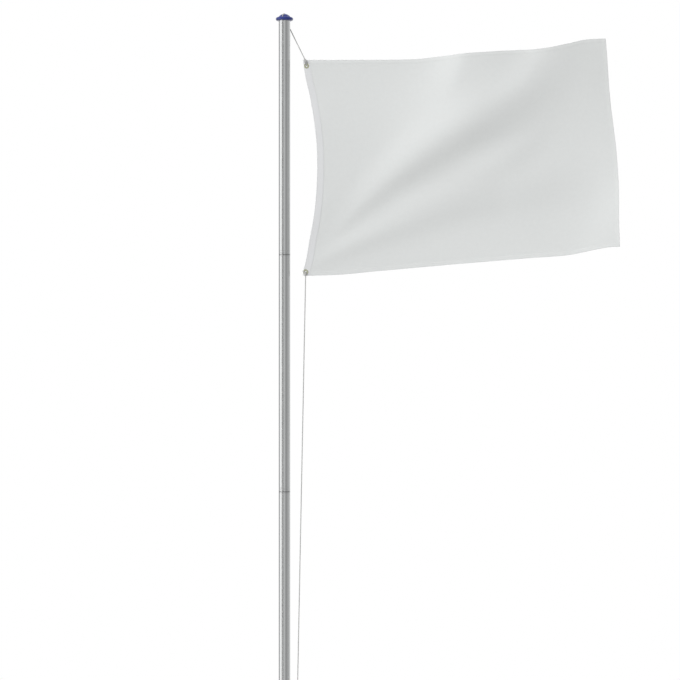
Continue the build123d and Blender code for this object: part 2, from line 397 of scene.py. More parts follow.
ropeFibre = ropeMaterial(halyard)
hoistLine = splineLine("hoistLine", hoistRoute)
hoistRope, hoistPath = laidRope("halyard_rope_hoist", hoistLine, halyard, ropeFibre, halyard["step"])
downhaulLine = splineLine("downhaulLine", downhaulRoute)
downhaulRope, downhaulPath = laidRope(
    "halyard_rope_downhaul", downhaulLine, halyard, ropeFibre, halyard["step"])
for piece, node in ((hoistRope, "halyard_hoist"), (downhaulRope, "halyard_downhaul")):
    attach(piece, "root")
    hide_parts(node)
print("ropes made")


# Knots at the eyelets, and the turns on the cleat

def centreOf(node):
    low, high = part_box(node)
    return (low + high) / 2


upperEyelet = centreOf("upper_eyelet")
lowerEyelet = centreOf("lower_eyelet")
cleatCentre = centreOf("cleat")

# Points in millimetres from the middle of the eyelet: the rope passes through it and back to its own knot
knots = {
    "upper": {
        "loop": [
            (-10.6, -8.0, 35.4), (-8.6, -8.5, 31.0), (-5.6, -9.2, 22.0), (-2.8, -9.4, 14.0),
            (-0.9, -8.6, 7.5), (-0.1, -5.2, 2.2), (0.2, 0.0, 1.2), (0.2, 5.2, 3.0), (-0.9, 7.0, 11.0),
            (-3.4, 6.6, 20.0), (-6.2, 5.4, 27.4), (-8.2, 0.6, 31.4), (-9.0, -5.4, 29.0),
            (-8.0, -9.0, 22.5),
        ],
        "from": (-6.6, -9.4, 26.0), "to": (-2.2, -9.4, 12.0),
        "turns": 2.6, "radius": 3.7, "tail": (-5.4, -13.0, 5.5),
    },
    "lower": {
        "loop": [
            (-0.2, -8.5, -31.0), (-0.1, -8.5, -25.6), (0.0, -9.2, -16.0), (0.2, -8.6, -7.0),
            (0.3, -5.2, -2.4), (0.0, 0.0, -1.4), (-1.6, 5.2, -0.6), (-6.2, 6.0, 2.2), (-10.6, 3.6, 4.2),
            (-11.6, -0.6, 4.0), (-9.8, -5.2, 2.0), (-5.0, -8.0, -3.0), (-2.6, -9.6, -9.0),
        ],
        "from": (0.1, -9.4, -17.0), "to": (0.2, -9.4, -6.6),
        "turns": 1.9, "radius": 3.9, "tail": (4.8, -13.0, -18.0),
    },
}
splineSlack = 1.07       # a spline runs this much inside the control points of a helix


def aroundAxis(start, end, turns, radius, tail):
    # Control points of a helix, eight to a turn, and then of a short tail.
    start, end, tail = (np.array(place, float) for place in (start, end, tail))
    axis = unit(end - start)
    side = unit(np.cross(axis, (0.0, 1.0, 0.0)))
    out = np.cross(side, axis)
    angle = np.arange(0.0, turns * 2 * math.pi, math.pi / 4)
    share = angle[:, None] / angle[-1]
    away = side * np.cos(angle)[:, None] + out * np.sin(angle)[:, None]
    helix = start + (end - start) * share + radius * splineSlack * away
    return np.vstack([helix, helix[-1] * 0.45 + tail * 0.55 + out * 1.5, tail])


def tieKnot(name, centre, tie, node):
    # The strand that goes through the eyelet, and the turns that hold it to the rope.
    turns = aroundAxis(tie["from"], tie["to"], tie["turns"], tie["radius"], tie["tail"])
    made = []
    for part, route in (("loop", np.array(tie["loop"], float)), ("turns", turns)):
        places = np.array(centre) + route * mm
        line = splineLine(name + part, [tuple(place) for place in places])
        made.append(laidRope(f"{name}_{part}", line, halyard, ropeFibre, halyard["knotStep"])[0])
    for piece in made:
        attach(piece, "root")
    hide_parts(node)
    return made


upperTie = tieKnot("upper_tie", upperEyelet, knots["upper"], "upper_knot")
lowerTie = tieKnot("lower_tie", lowerEyelet, knots["lower"], "lower_knot")

# Figure-of-eight turns on the cleat, in millimetres from the mast's axis at the cleat's middle height:
# down the left, under the lower horn, up across the front, under the upper horn, and so on
hitchRoute = [
    (-11.0, -32.5, 24.3), (-11.3, -29.5, 16.0), (-11.6, -27.6, 6.0), (-11.6, -27.2, -5.0),
    (-10.5, -27.8, -14.0), (-6.5, -28.9, -20.0), (0.0, -29.2, -21.8), (6.5, -29.4, -20.0),
    (10.6, -32.5, -16.4), (11.6, -39.0, -12.4), (9.8, -45.4, -8.6), (5.0, -48.4, -4.6),
    (0.0, -48.8, -0.6), (-5.0, -48.4, 3.6), (-9.8, -45.4, 8.0), (-11.6, -39.0, 12.4),
    (-10.6, -33.6, 17.0), (-6.5, -30.2, 20.6), (0.0, -29.2, 21.8), (6.5, -29.4, 20.0),
    (10.6, -33.0, 16.4), (11.8, -40.0, 12.4), (10.2, -47.2, 8.4), (5.6, -52.4, 4.4), (0.0, -53.9, 0.4),
    (-5.6, -52.4, -4.0), (-10.4, -47.2, -8.4), (-12.2, -40.0, -12.8), (-11.2, -35.4, -19.0),
    (-7.0, -34.0, -24.8), (0.0, -34.2, -26.8), (7.0, -34.6, -25.0), (12.0, -38.0, -20.4),
    (14.2, -44.0, -14.4), (12.4, -50.6, -8.4), (7.0, -56.4, -4.6), (0.6, -58.9, 1.6), (-6.0, -57.0, 7.4),
    (-11.6, -50.6, 12.0), (-13.6, -43.0, 17.0), (-11.6, -37.2, 22.4), (-6.6, -35.0, 26.6),
    (0.0, -34.4, 28.0), (6.0, -33.8, 26.6), (9.8, -33.0, 24.6), (11.0, -32.5, 30.0), (11.1, -32.4, 38.0),
]
hitchLine = splineLine("hitchLine", [(x * mm, y * mm, cleatCentre.z + z * mm) for x, y, z in hitchRoute])
hitch = laidRope("cleat_rope_turns", hitchLine, halyard, ropeFibre, halyard["knotStep"])[0]
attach(hitch, "root")
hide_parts("cleat_hitch")
print("knots and hitch made")


# Floor and light

studio = {
    "floorSize": 16.0,
    "floorColour": (0.60, 0.60, 0.595, 1.0),
    "floorGlow": 0.55,       # lifts the floor to white where it is seen, and keeps the shadow on it
    "ambient": 0.50,
    "lamps": [
        {"name": "keyLight", "from": (-0.50, -0.74, 0.45), "strength": 2.12, "size": 32.0},
        {"name": "rearLight", "from": (0.42, 0.80, 0.43), "strength": 1.15, "size": 40.0},
    ],
}


def makeFloor(size):
    half = size["floorSize"] / 2
    points = [(-half, -half, 0.0), (half, -half, 0.0), (half, half, 0.0), (-half, half, 0.0)]
    material, tree, shader = newMaterial("floorPaper", Base_Color=size["floorColour"], Roughness=0.9)
    path = addNode(tree, "ShaderNodeLightPath")
    seen = anyOf(tree, [path.outputs[f"Is {kind} Ray"] for kind in ("Camera", "Glossy", "Transmission")])
    shader.inputs["Emission Color"].default_value = (1.0, 1.0, 1.0, 1.0)
    wire(tree, mathOf(tree, "MULTIPLY", seen, size["floorGlow"]), shader.inputs["Emission Strength"])
    meshPiece("studio_floor", points, [(0, 1, 2, 3)], material)


def makeLamp(size):
    lamp = bpy.data.lights.new(size["name"], "SUN")
    lamp.energy = size["strength"]
    lamp.angle = math.radians(size["size"])
    lit = bpy.data.objects.new(size["name"], lamp)
    lit.rotation_mode = "QUATERNION"
    lit.rotation_quaternion = Vector(size["from"]).to_track_quat("Z", "Y")
    lit.visible_glossy = False
    bpy.context.scene.collection.objects.link(lit)


# What gloss sees round the horizon: degrees from -Y towards +X, and brightness, where 1 is white
horizon = [
    (-180, 1.00), (-150, 0.60), (-118, 0.84), (-92, 2.16), (-66, 2.44), (-50, 2.44), (-34, 1.24),
    (4, 1.16), (24, 0.72), (48, 0.66), (70, 0.90), (95, 1.04), (128, 1.40), (180, 1.00),
]


def makeWorld(size):
    # White for camera and transmission rays, an even grey for soft light, and for gloss the horizon,
    # which turns to white overhead.
    world = bpy.data.worlds.new("studioWorld")
    bpy.context.scene.world = world
    world.use_nodes = True
    tree = world.node_tree
    tree.nodes.clear()
    out = addNode(tree, "ShaderNodeOutputWorld")
    path = addNode(tree, "ShaderNodeLightPath")
    place = addNode(tree, "ShaderNodeTexCoord")
    split = addNode(tree, "ShaderNodeSeparateXYZ")
    wire(tree, place.outputs["Generated"], split.inputs["Vector"])
    back = mathOf(tree, "MULTIPLY", split.outputs["Y"], -1.0)
    share = addNode(tree, "ShaderNodeMapRange", {"From Min": -math.pi, "From Max": math.pi})
    wire(tree, mathOf(tree, "ARCTAN2", split.outputs["X"], back), share.inputs["Value"])
    ramp = addNode(tree, "ShaderNodeValToRGB")
    ramp.color_ramp.interpolation = "EASE"
    setStops(ramp, [((degrees + 180.0) / 360.0, level) for degrees, level in horizon])
    wire(tree, share.outputs["Result"], ramp.inputs["Fac"])
    overhead = addNode(tree, "ShaderNodeMapRange", {"From Min": 0.35, "From Max": 0.9})
    wire(tree, split.outputs["Z"], overhead.inputs["Value"])
    gloss = mixColour(tree, overhead.outputs["Result"], ramp.outputs["Color"], (1.0, 1.0, 1.0, 1.0))
    level = size["ambient"]
    soft = mixColour(tree, path.outputs["Is Glossy Ray"], (level, level, level, 1.0), gloss)
    clear = anyOf(tree, [path.outputs["Is Camera Ray"], path.outputs["Is Transmission Ray"]])
    shown = mixColour(tree, clear, soft, (1.0, 1.0, 1.0, 1.0))
    light = addNode(tree, "ShaderNodeBackground")
    wire(tree, shown, light.inputs["Color"])
    wire(tree, light.outputs["Background"], out.inputs["Surface"])


makeFloor(studio)
for lampSize in studio["lamps"]:
    makeLamp(lampSize)
makeWorld(studio)
bpy.context.scene.view_settings.view_transform = "Standard"
print("studio made")


# The flag

flag = {
    "halfThickness": 0.3 * mm,
    "hemHalf": 0.7 * mm,           # half the thickness of a hem, which is doubled cloth
    "headingHalf": 1.15 * mm,      # and of the heading that the eyelets are set in
    "hemWidth": 15.0 * mm,
    "headingWidth": 30.0 * mm,
    "stepHard": 1.2 * mm,          # how fast a hem falls off to the single cloth
    "cell": 6.3 * mm,
    "holeRadius": 8.0 * mm,        # cut away under an eyelet's rim
    "tilt": 70.0 * mm,             # the fly stands this much further back
    "headingColour": (0.697, 0.704, 0.716, 1.0),
    "colour": (0.683, 0.698, 0.693, 1.0),
}

# The outline in millimetres at measured places, as x and z from the middle of the lower eyelet
topEdge = [(-11.5, 923.5), (175, 924), (385, 925.5), (490, 928), (593, 938.5), (697, 947), (850, 957),
           (1058, 972), (1140, 990), (1218, 1008.5), (1306, 1016)]
bottomEdge = [(-11.5, -16), (8.5, -16), (124, -13), (332, 5.5), (646, 33.5), (958, 59), (1167, 76.5),
              (1270, 98), (1323, 106.5), (1365, 107.5)]
hoistEdge = [(-11.5, -16), (-10, 4.5), (0, 43.5), (16, 135), (35, 239), (46, 343), (50.5, 448), (48, 552),
             (37, 657), (19, 762), (-3, 862), (-11.5, 923.5)]
flyEdge = [(1365, 107.5), (1362, 208), (1362, 382), (1350, 556), (1328, 730), (1306, 1016)]

# Folds in millimetres from the same place: the line's two ends, how far it bows, how high it stands,
# its width on the left and right at both ends, and the shares over which it rises and dies away.
# The first eight rows, and turn, curl and sweep in twist, are the rounded result of a least-squares
# solver; four numbers in those rows were changed afterwards.
folds = [
    {"start": (74, 109), "end": (1208, 814), "bow": 120, "height": 56, "left": (45, 185),
     "right": (18, 205), "fade": (0.65, 0.45)},
    {"start": (-16, 4), "end": (1308, 324), "bow": 115, "height": 63, "left": (20, 215),
     "right": (20, 190), "fade": (0.65, 0.30)},
    {"start": (724, 1174), "end": (164, 469), "bow": 185, "height": 38, "left": (215, 295),
     "right": (35, 300), "fade": (0.05, 0.65)},
    {"start": (1064, 1174), "end": (724, 674), "bow": 120, "height": 19, "left": (135, 95),
     "right": (95, 70), "fade": (0.15, 0.50)},
    {"start": (368, 429), "end": (1104, 659), "bow": -90, "height": 18, "left": (110, 55),
     "right": (85, 65), "fade": (0.70, 0.50)},
    {"start": (558, 999), "end": (1508, 689), "bow": 175, "height": 48, "left": (185, 185),
     "right": (245, 300), "fade": (0.40, 0.45)},
    {"start": (34, 79), "end": (1458, 289), "bow": 90, "height": -40, "left": (60, 155),
     "right": (65, 140), "fade": (0.50, 0.45)},
    {"start": (-122, 619), "end": (234, 314), "bow": 25, "height": 6, "left": (205, 300),
     "right": (105, 300), "fade": (0.25, 0.25)},
    {"start": (680, 1010), "end": (618, 690), "bow": 0, "height": 7.2, "left": (75, 75),
     "right": (52, 60), "fade": (0.05, 0.60)},
    {"start": (1440, 430), "end": (1268, 20), "bow": 0, "height": 6.5, "left": (95, 105),
     "right": (75, 80), "fade": (0.30, 0.10)},
]
twist = {
    "start": -2.0,         # where it begins, as x in millimetres, and the length over which it grows
    "length": 1340.0,
    "middle": 484.0,       # the height that it turns about, and the way from there to the edge
    "half": 460.0,
    "turn": -56.0,         # depths at the fly: straight twist, twist that grows with the square, and sweep
    "curl": 80.0,
    "sweep": -80.0,
}


def throughPoints(edge, share):
    # A smooth curve through an edge's points: cubic pieces whose slopes come from the points beside them.
    places = np.array(edge, float)
    run = np.concatenate([[0.0], np.cumsum(np.linalg.norm(np.diff(places, axis=0), axis=1))])
    slope = np.gradient(places, run, axis=0)
    at = np.clip(share, 0.0, 1.0) * run[-1]
    piece = np.clip(np.searchsorted(run, at, side="right") - 1, 0, len(run) - 2)
    gap = (run[piece + 1] - run[piece])[..., None]
    part = ((at - run[piece]) / gap[..., 0])[..., None]
    here, there = places[piece], places[piece + 1]
    leave, arrive = gap * slope[piece], gap * slope[piece + 1]
    return ((2 * part ** 3 - 3 * part ** 2 + 1) * here + (part ** 3 - 2 * part ** 2 + part) * leave
            + (3 * part ** 2 - 2 * part ** 3) * there + (part ** 3 - part ** 2) * arrive)


def foldDepth(fold, x, z):
    # A ridge towards the viewer: height times a bell across the fold's bowed line, faded at its ends.
    start, end = np.array(fold["start"], float), np.array(fold["end"], float)
    along = (end - start) / np.linalg.norm(end - start)
    length = np.linalg.norm(end - start)
    share = ((x - start[0]) * along[0] + (z - start[1]) * along[1]) / length
    aside = (x - start[0]) * along[1] - (z - start[1]) * along[0] + 4 * fold["bow"] * share * (1 - share)
    held = np.clip(share, 0.0, 1.0)
    left = fold["left"][0] + (fold["left"][1] - fold["left"][0]) * held
    right = fold["right"][0] + (fold["right"][1] - fold["right"][0]) * held
    width = np.where(aside < 0, left, right)
    fade = smoothStep(share / fold["fade"][0]) * smoothStep((1 - share) / fold["fade"][1])
    return -fold["height"] * fade * np.exp(-(aside / width) ** 2)


def clothDepth(x, z):
    # All folds together, a slow twist and sweep that grow towards the fly, and the flag's tilt.
    depth = sum(foldDepth(fold, x, z) for fold in folds)
    across = (x - twist["start"]) / twist["length"]
    high = (z - twist["middle"]) / twist["half"]
    drift = (twist["turn"] * across * high + twist["curl"] * across ** 2 * high
             + twist["sweep"] * across ** 2)
    return depth + drift + flag["tilt"] / mm * np.clip(across, 0.0, None)


def clothPlace(across, high):
    # A point of the cloth from its two shares: the four edges blended, as in a patch stretched on a frame.
    bottom, top = throughPoints(bottomEdge, across), throughPoints(topEdge, across)
    hoist, fly = throughPoints(hoistEdge, high), throughPoints(flyEdge, high)
    s, t = across[..., None], high[..., None]
    ends = [np.array(end, float) for end in (bottomEdge[0], bottomEdge[-1], topEdge[0], topEdge[-1])]
    corner = (1 - s) * (1 - t) * ends[0] + s * (1 - t) * ends[1] + (1 - s) * t * ends[2] + s * t * ends[3]
    plan = (1 - t) * bottom + t * top + (1 - s) * hoist + s * fly - corner
    x, z = plan[..., 0], plan[..., 1]
    depth = clothDepth(x, z)
    return np.stack([lowerEyelet.x + x * mm, lowerEyelet.y + depth * mm, lowerEyelet.z + z * mm], axis=-1)


def clothNormal(across, high):
    # The way the cloth faces, towards -Y, from small steps to either side.
    small = 0.002
    wide = clothPlace(across + small, high) - clothPlace(across - small, high)
    tall = clothPlace(across, high + small) - clothPlace(across, high - small)
    return unit(np.cross(wide, tall))


def edgeSteps(length, near, far, cell):
    # Shares along one way of the cloth: close together at the hems, even between them.
    inner = np.linspace(near[-1], length - far[-1], int((length - near[-1] - far[-1]) / cell) + 1)
    return np.concatenate([near[:-1], inner, (length - np.array(far[:-1]))[::-1]]) / length


clothSize = {"length": 1.36, "height": 0.93}     # turns shares into metres for hems, stitches and weave


def fromEdges(s, t):
    return (s * clothSize["length"], (1 - s) * clothSize["length"],
            (1 - t) * clothSize["height"], t * clothSize["height"])


def clothHalf(s, t):
    # Half the thickness: single cloth, with a step up to the doubled hems and the heading. Also how far
    # each of these two has risen.
    hard = flag["stepHard"]
    fromHoist, *rest = fromEdges(s, t)
    hem = np.maximum.reduce([smoothStep((flag["hemWidth"] + hard - gap) / hard) for gap in rest])
    heading = smoothStep((flag["headingWidth"] + hard - fromHoist) / hard)
    plain = flag["halfThickness"]
    hemmed = plain + (flag["hemHalf"] - plain) * hem
    headed = plain + (flag["headingHalf"] - plain) * heading
    return np.maximum(hemmed, headed), hem, heading


puckers = {
    "height": 0.12 * mm,
    "alongHem": ((1.0, 331.0, 0.0), (0.7, 209.0, 1.3)),   # waves: share, radians to the metre, start
    "upHem": ((1.0, 297.0, 0.4), (0.7, 187.0, 0.0)),
    "hemMiddle": 11.0 * mm,
    "headingMiddle": 34.0 * mm,
    "headingShare": 0.6,
    "reach": 12.0 * mm,
}


def wavesAt(places, waves):
    return sum(share * np.sin(places * rate + start) for share, rate, start in waves)


def bandAt(gap, middle):
    # A bell about a line that runs beside an edge.
    return np.exp(-((gap - middle) / puckers["reach"]) ** 2)


def rippleOf(s, t):
    # Small puckers that the stitching draws in along the hems: two waves of unlike length, which die
    # away inwards.
    fromHoist, fromFly, fromTop, fromBottom = fromEdges(s, t)
    bands = bandAt(fromTop, puckers["hemMiddle"]) + bandAt(fromBottom, puckers["hemMiddle"])
    sides = (bandAt(fromFly, puckers["hemMiddle"])
             + puckers["headingShare"] * bandAt(fromHoist, puckers["headingMiddle"]))
    return puckers["height"] * (wavesAt(s * clothSize["length"], puckers["alongHem"]) * bands
                                + wavesAt(t * clothSize["height"], puckers["upHem"]) * sides)


def makeFlag(material):
    # Two layers of one grid, half a thickness to either side of the cloth's middle, with walls between
    # them at every free edge.
    length, height = clothSize["length"], clothSize["height"]
    hem = np.array([0, 0.8, 3, 6, 9, 12, 14.4, 15.6, 16.8, 20, 25]) * mm
    heading = np.array([0, 1, 4, 8, 12, 16, 20, 24, 27, 29.4, 30.6, 31.8, 35, 40]) * mm
    across = edgeSteps(length, heading, hem, flag["cell"])
    high = edgeSteps(height, hem, hem, flag["cell"])
    s, t = np.meshgrid(across, high)
    facing = clothNormal(s, t)
    middle = clothPlace(s, t) + rippleOf(s, t)[..., None] * facing
    half, hemmed, headed = clothHalf(s, t)
    front = (middle + facing * half[..., None]).reshape(-1, 3)
    rear = (middle - facing * half[..., None]).reshape(-1, 3)
    quads = gridQuads(len(high), len(across))
    centres = middle.reshape(-1, 3)[quads].mean(axis=1)
    keep = np.ones(len(quads), bool)
    for eyelet in (upperEyelet, lowerEyelet):
        away = np.hypot(centres[:, 0] - eyelet.x, centres[:, 2] - eyelet.z)
        keep &= away > flag["holeRadius"]
    quads = quads[keep]
    count = len(front)
    edges = np.stack([quads, np.roll(quads, -1, axis=1)], axis=-1).reshape(-1, 2)
    lone = ~np.isin(edges[:, 1] * count + edges[:, 0], edges[:, 0] * count + edges[:, 1])
    begin, end = edges[lone, 0], edges[lone, 1]
    walls = np.stack([end, begin, begin + count, end + count], axis=1)
    faces = np.vstack([quads, quads[:, ::-1] + count, walls])
    used, faces = np.unique(faces, return_inverse=True)
    faces = faces.reshape(-1, 4)
    points = np.vstack([front, rear])[used]
    flat = np.stack([s.ravel() * length, t.ravel() * height], axis=-1)
    flat = np.vstack([flat, flat])[used]
    piece = meshPiece("flag_sheet", points, faces, material, flat[faces].reshape(-1, 2))
    for label, values in (("hemmed", hemmed), ("headed", headed)):
        mask = piece.data.attributes.new(label, "FLOAT", "POINT")
        mask.data.foreach_set("value", np.concatenate([values.ravel(), values.ravel()])[used])
    return piece


def clothMaterial(size):
    # Woven polyester: a fine plain weave, slight unevenness in the thread, denser where it is doubled.
    material, tree, shader = newMaterial("flagCloth", Roughness=0.78, Sheen_Weight=0.15)
    weave = useGroup(tree, plainWeave, Threads=900.0)
    hemmed = addNode(tree, "ShaderNodeAttribute", attribute_name="hemmed")
    headed = addNode(tree, "ShaderNodeAttribute", attribute_name="headed")
    plain = size["colour"]
    tone = mixColour(tree, weave.outputs["Slub"], shadeFrom(plain, 0.965), shadeFrom(plain, 1.02))
    tone = mixColour(tree, rangeOf(tree, hemmed.outputs["Fac"], 0.0, 0.7), tone, shadeFrom(plain, 1.035))
    tone = mixColour(tree, rangeOf(tree, headed.outputs["Fac"], 0.0, 0.85), tone, size["headingColour"])
    wire(tree, tone, shader.inputs["Base Color"])
    wire(tree, rangeOf(tree, weave.outputs["Slub"], 0.74, 0.84), shader.inputs["Roughness"])
    bumpFrom(tree, shader, weave.outputs["Height"], 0.12, 0.0002)
    return material


flagCloth = clothMaterial(flag)
flagSheet = makeFlag(flagCloth)
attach(flagSheet, "root")
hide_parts("flag_cloth")
print("flag made", len(flagSheet.data.polygons), "faces")


# Materials of the pole, cap, sleeve, cleat and eyelets

def seamShadeGroup():
    # Painted shade at each seam, in its gap and just below it, and in the rolled grooves above it: a ramp
    # over the height past a seam.
    group, enter, leave = newGroup("seamShade", {"Pitch": 1.0295, "Start": 0.0}, ("Shade",))
    place = addNode(group, "ShaderNodeTexCoord")
    split = addNode(group, "ShaderNodeSeparateXYZ")
    wire(group, place.outputs["Object"], split.inputs["Vector"])
    lift = mathOf(group, "SUBTRACT", split.outputs["Z"], enter.outputs["Start"])
    past = mathOf(group, "FLOORED_MODULO", lift, enter.outputs["Pitch"])
    shades = [                   # millimetres past the ramp's start, and how dark
        (0.0, 0.0), (1.5, 0.34), (6.0, 0.42), (7.0, 0.72), (9.0, 0.72), (10.2, 0.08), (14.5, 0.0),
        (15.4, 0.3), (16.6, 0.3), (17.5, 0.0), (22.5, 0.0), (23.4, 0.25), (24.6, 0.25), (25.5, 0.0),
        (28.0, 0.0),
    ]
    reach = shades[-1][0]
    share = addNode(group, "ShaderNodeMapRange", {"From Min": 0.0, "From Max": reach * mm})
    wire(group, past, share.inputs["Value"])
    ramp = addNode(group, "ShaderNodeValToRGB")
    setStops(ramp, [(height / reach, level) for height, level in shades])
    wire(group, share.outputs["Result"], ramp.inputs["Fac"])
    wire(group, ramp.outputs["Color"], leave.inputs["Shade"])
    return group


seamShade = seamShadeGroup()


def tubeMaterial(name, colour, roughness, start, pitch):
    # Satin aluminium: fine lines along the tube, cloudy wear, and painted shade as darker rings at the seams
    # and in the grooves.
    material, tree, shader = newMaterial(name, Metallic=1.0)
    lines = useGroup(tree, drawnLines, Across=1500.0, Along=1.2)
    specks = useGroup(tree, dustSpecks, Scale=420.0, Amount=0.35)
    seams = useGroup(tree, seamShade, Pitch=pitch, Start=start)
    tone = mixColour(tree, rangeOf(tree, lines.outputs["Lines"], -0.2, 1.2), shadeFrom(colour, 0.965),
                     shadeFrom(colour, 1.035))
    tone = mixColour(tree, rangeOf(tree, lines.outputs["Cloud"], 0.0, 0.22), tone, shadeFrom(colour, 0.80))
    tone = mixColour(tree, specks.outputs["Specks"], tone, shadeFrom(colour, 0.62))
    # Painted shade: the seam ramp darkens the colour at each seam and in the grooves above it.
    tone = mixColour(tree, rangeOf(tree, seams.outputs["Shade"], 0.0, 0.75), tone, shadeFrom(colour, 0.38))
    wire(tree, tone, shader.inputs["Base Color"])
    rough = rangeOf(tree, lines.outputs["Cloud"], roughness - 0.03, roughness + 0.05)
    wire(tree, rough, shader.inputs["Roughness"])
    bumpFrom(tree, shader, lines.outputs["Lines"], 0.03, 0.0003)
    return material


def mouldedMaterial(name, colour, roughness, grain, dust, index=1.45, coat=0.0):
    # Moulded plastic: a fine pebbled skin, cloudy colour and a little pale dust.
    material, tree, shader = newMaterial(name, IOR=index, Coat_Weight=coat, Coat_Roughness=0.08)
    place = addNode(tree, "ShaderNodeTexCoord")
    skin = noiseOn(tree, place.outputs["Object"], Scale=1800.0, Detail=2.0)
    specks = useGroup(tree, dustSpecks, Scale=650.0, Amount=dust)
    tone = mixColour(tree, specks.outputs["Mottle"], shadeFrom(colour, 0.86), shadeFrom(colour, 1.12))
    tone = mixColour(tree, specks.outputs["Specks"], tone, (0.34, 0.34, 0.34, 1.0))
    wire(tree, tone, shader.inputs["Base Color"])
    rough = rangeOf(tree, specks.outputs["Mottle"], roughness - 0.05, roughness + 0.07)
    wire(tree, rough, shader.inputs["Roughness"])
    bumpFrom(tree, shader, skin, grain, 0.0003)
    return material


def sleeveMaterial(name, colour):
    # Extruded plastic tube: faint lines along it, scuffs, and specks of soil dust.
    material, tree, shader = newMaterial(name, IOR=1.33)
    lines = useGroup(tree, drawnLines, Across=700.0, Along=2.5)
    specks = useGroup(tree, dustSpecks, Scale=380.0, Amount=0.25)
    tone = mixColour(tree, lines.outputs["Lines"], shadeFrom(colour, 0.88), shadeFrom(colour, 1.12))
    tone = mixColour(tree, rangeOf(tree, lines.outputs["Cloud"], 0.0, 0.2), tone, shadeFrom(colour, 0.7))
    tone = mixColour(tree, specks.outputs["Specks"], tone, (0.16, 0.26, 0.24, 1.0))
    wire(tree, tone, shader.inputs["Base Color"])
    wire(tree, rangeOf(tree, lines.outputs["Cloud"], 0.34, 0.5), shader.inputs["Roughness"])
    bumpFrom(tree, shader, lines.outputs["Lines"], 0.08, 0.0003)
    return material


def brassMaterial(name, colour):
    # Dull pressed brass, with a patchy tarnish.
    material, tree, shader = newMaterial(name, Metallic=1.0)
    specks = useGroup(tree, dustSpecks, Scale=900.0, Amount=0.9)
    place = addNode(tree, "ShaderNodeTexCoord")
    tarnish = noiseOn(tree, place.outputs["Object"], Scale=260.0, Detail=4.0)
    tone = mixColour(tree, tarnish, shadeFrom(colour, 0.72), shadeFrom(colour, 1.2))
    tone = mixColour(tree, specks.outputs["Specks"], tone, (0.12, 0.12, 0.07, 1.0))
    wire(tree, tone, shader.inputs["Base Color"])
    wire(tree, rangeOf(tree, tarnish, 0.28, 0.5), shader.inputs["Roughness"])
    bumpFrom(tree, shader, tarnish, 0.12, 0.0004)
    return material


finishes = {
    "tube": (0.394, 0.4015, 0.401, 1.0),
    # The joint colour is painted shade: aluminium darkened to stand for the shadow in the seam gap.
    "joint": (0.20, 0.2025, 0.205, 1.0),
    "cap": (0.020, 0.035, 0.205, 1.0),
    "sleeve": (0.013, 0.150, 0.152, 1.0),
    "cleat": (0.040, 0.040, 0.042, 1.0),
    "brass": (0.42, 0.43, 0.315, 1.0),
}

lowestJoint = (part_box("pole_section_1")[1].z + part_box("pole_section_2")[0].z) / 2
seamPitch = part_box("pole_section_3")[0].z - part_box("pole_section_2")[0].z
seamStart = lowestJoint - 8.0 * mm          # the ramp of seamShade begins 8 mm below a seam
tubeFinish = tubeMaterial("satinAluminium", finishes["tube"], 0.20, seamStart, seamPitch)
# Painted shade: the joint tube is darkened for the shadow in the seam gap.
jointShadeFinish = tubeMaterial("jointPaintedShade", finishes["joint"], 0.45, seamStart, seamPitch)
nodeFinish = {
    "mast_cap": mouldedMaterial("capPlastic", finishes["cap"], 0.22, 0.02, 0.10, index=1.33, coat=0.12),
    "ground_sleeve": sleeveMaterial("sleevePlastic", finishes["sleeve"]),
    "cleat": mouldedMaterial("cleatPlastic", finishes["cleat"], 0.36, 0.10, 0.10),
    "upper_eyelet": brassMaterial("eyeletBrass", finishes["brass"]),
}
nodeFinish["sleeve_foot"] = nodeFinish["ground_sleeve"]
nodeFinish["lower_eyelet"] = nodeFinish["upper_eyelet"]
nodeFinish.update({f"pole_section_{number}": tubeFinish for number in range(1, 7)})
nodeFinish.update({f"joint_tube_{number}": jointShadeFinish for number in range(1, 6)})
for node, finish in nodeFinish.items():
    for place in nodes[node].material_slots:
        place.material = finish
print("finishes made")


# Rolled lips of the eyelets, and the cleat's screws

def lathe(name, centre, profile, sides, material):
    # A closed profile of radius and height turned round an axis that runs along Y through the centre.
    radius, high = np.array(profile, float).T * mm
    angle = np.arange(sides) * 2 * math.pi / sides
    points = np.stack([radius[:, None] * np.cos(angle), np.broadcast_to(high[:, None], (len(radius), sides)),
                       radius[:, None] * np.sin(angle)], axis=-1)
    row, column = np.arange(len(radius)), np.arange(sides)
    below, right = np.roll(row, -1), np.roll(column, -1)
    quads = np.stack(np.broadcast_arrays(
        row[:, None] * sides + column, row[:, None] * sides + right,
        below[:, None] * sides + right, below[:, None] * sides + column), axis=-1).reshape(-1, 4)
    return meshPiece(name, points.reshape(-1, 3) + np.array(centre), quads, material)


lip = {"middle": 5.9, "wide": 2.1, "deep": 3.3, "steps": 20, "sides": 48}       # in millimetres
lipAngle = -np.arange(lip["steps"]) * 2 * math.pi / lip["steps"]
lipRadius = lip["middle"] + lip["wide"] * np.cos(lipAngle)
lipProfile = np.stack([lipRadius, lip["deep"] * np.sin(lipAngle)], axis=1)
for label, centre in (("upper", upperEyelet), ("lower", lowerEyelet)):
    roll = lathe(f"{label}_eyelet_lip", centre, lipProfile, lip["sides"], nodeFinish["upper_eyelet"])
    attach(roll, "root")

screws = {"radius": 3.1 * mm, "rise": 1.3 * mm, "slot": 0.85 * mm, "slotLength": 1.9 * mm, "deep": 1.0 * mm,
          "away": 15.0 * mm, "sunk": 0.15 * mm, "skirt": 1.2 * mm, "rings": 22,
          "sides": 60}


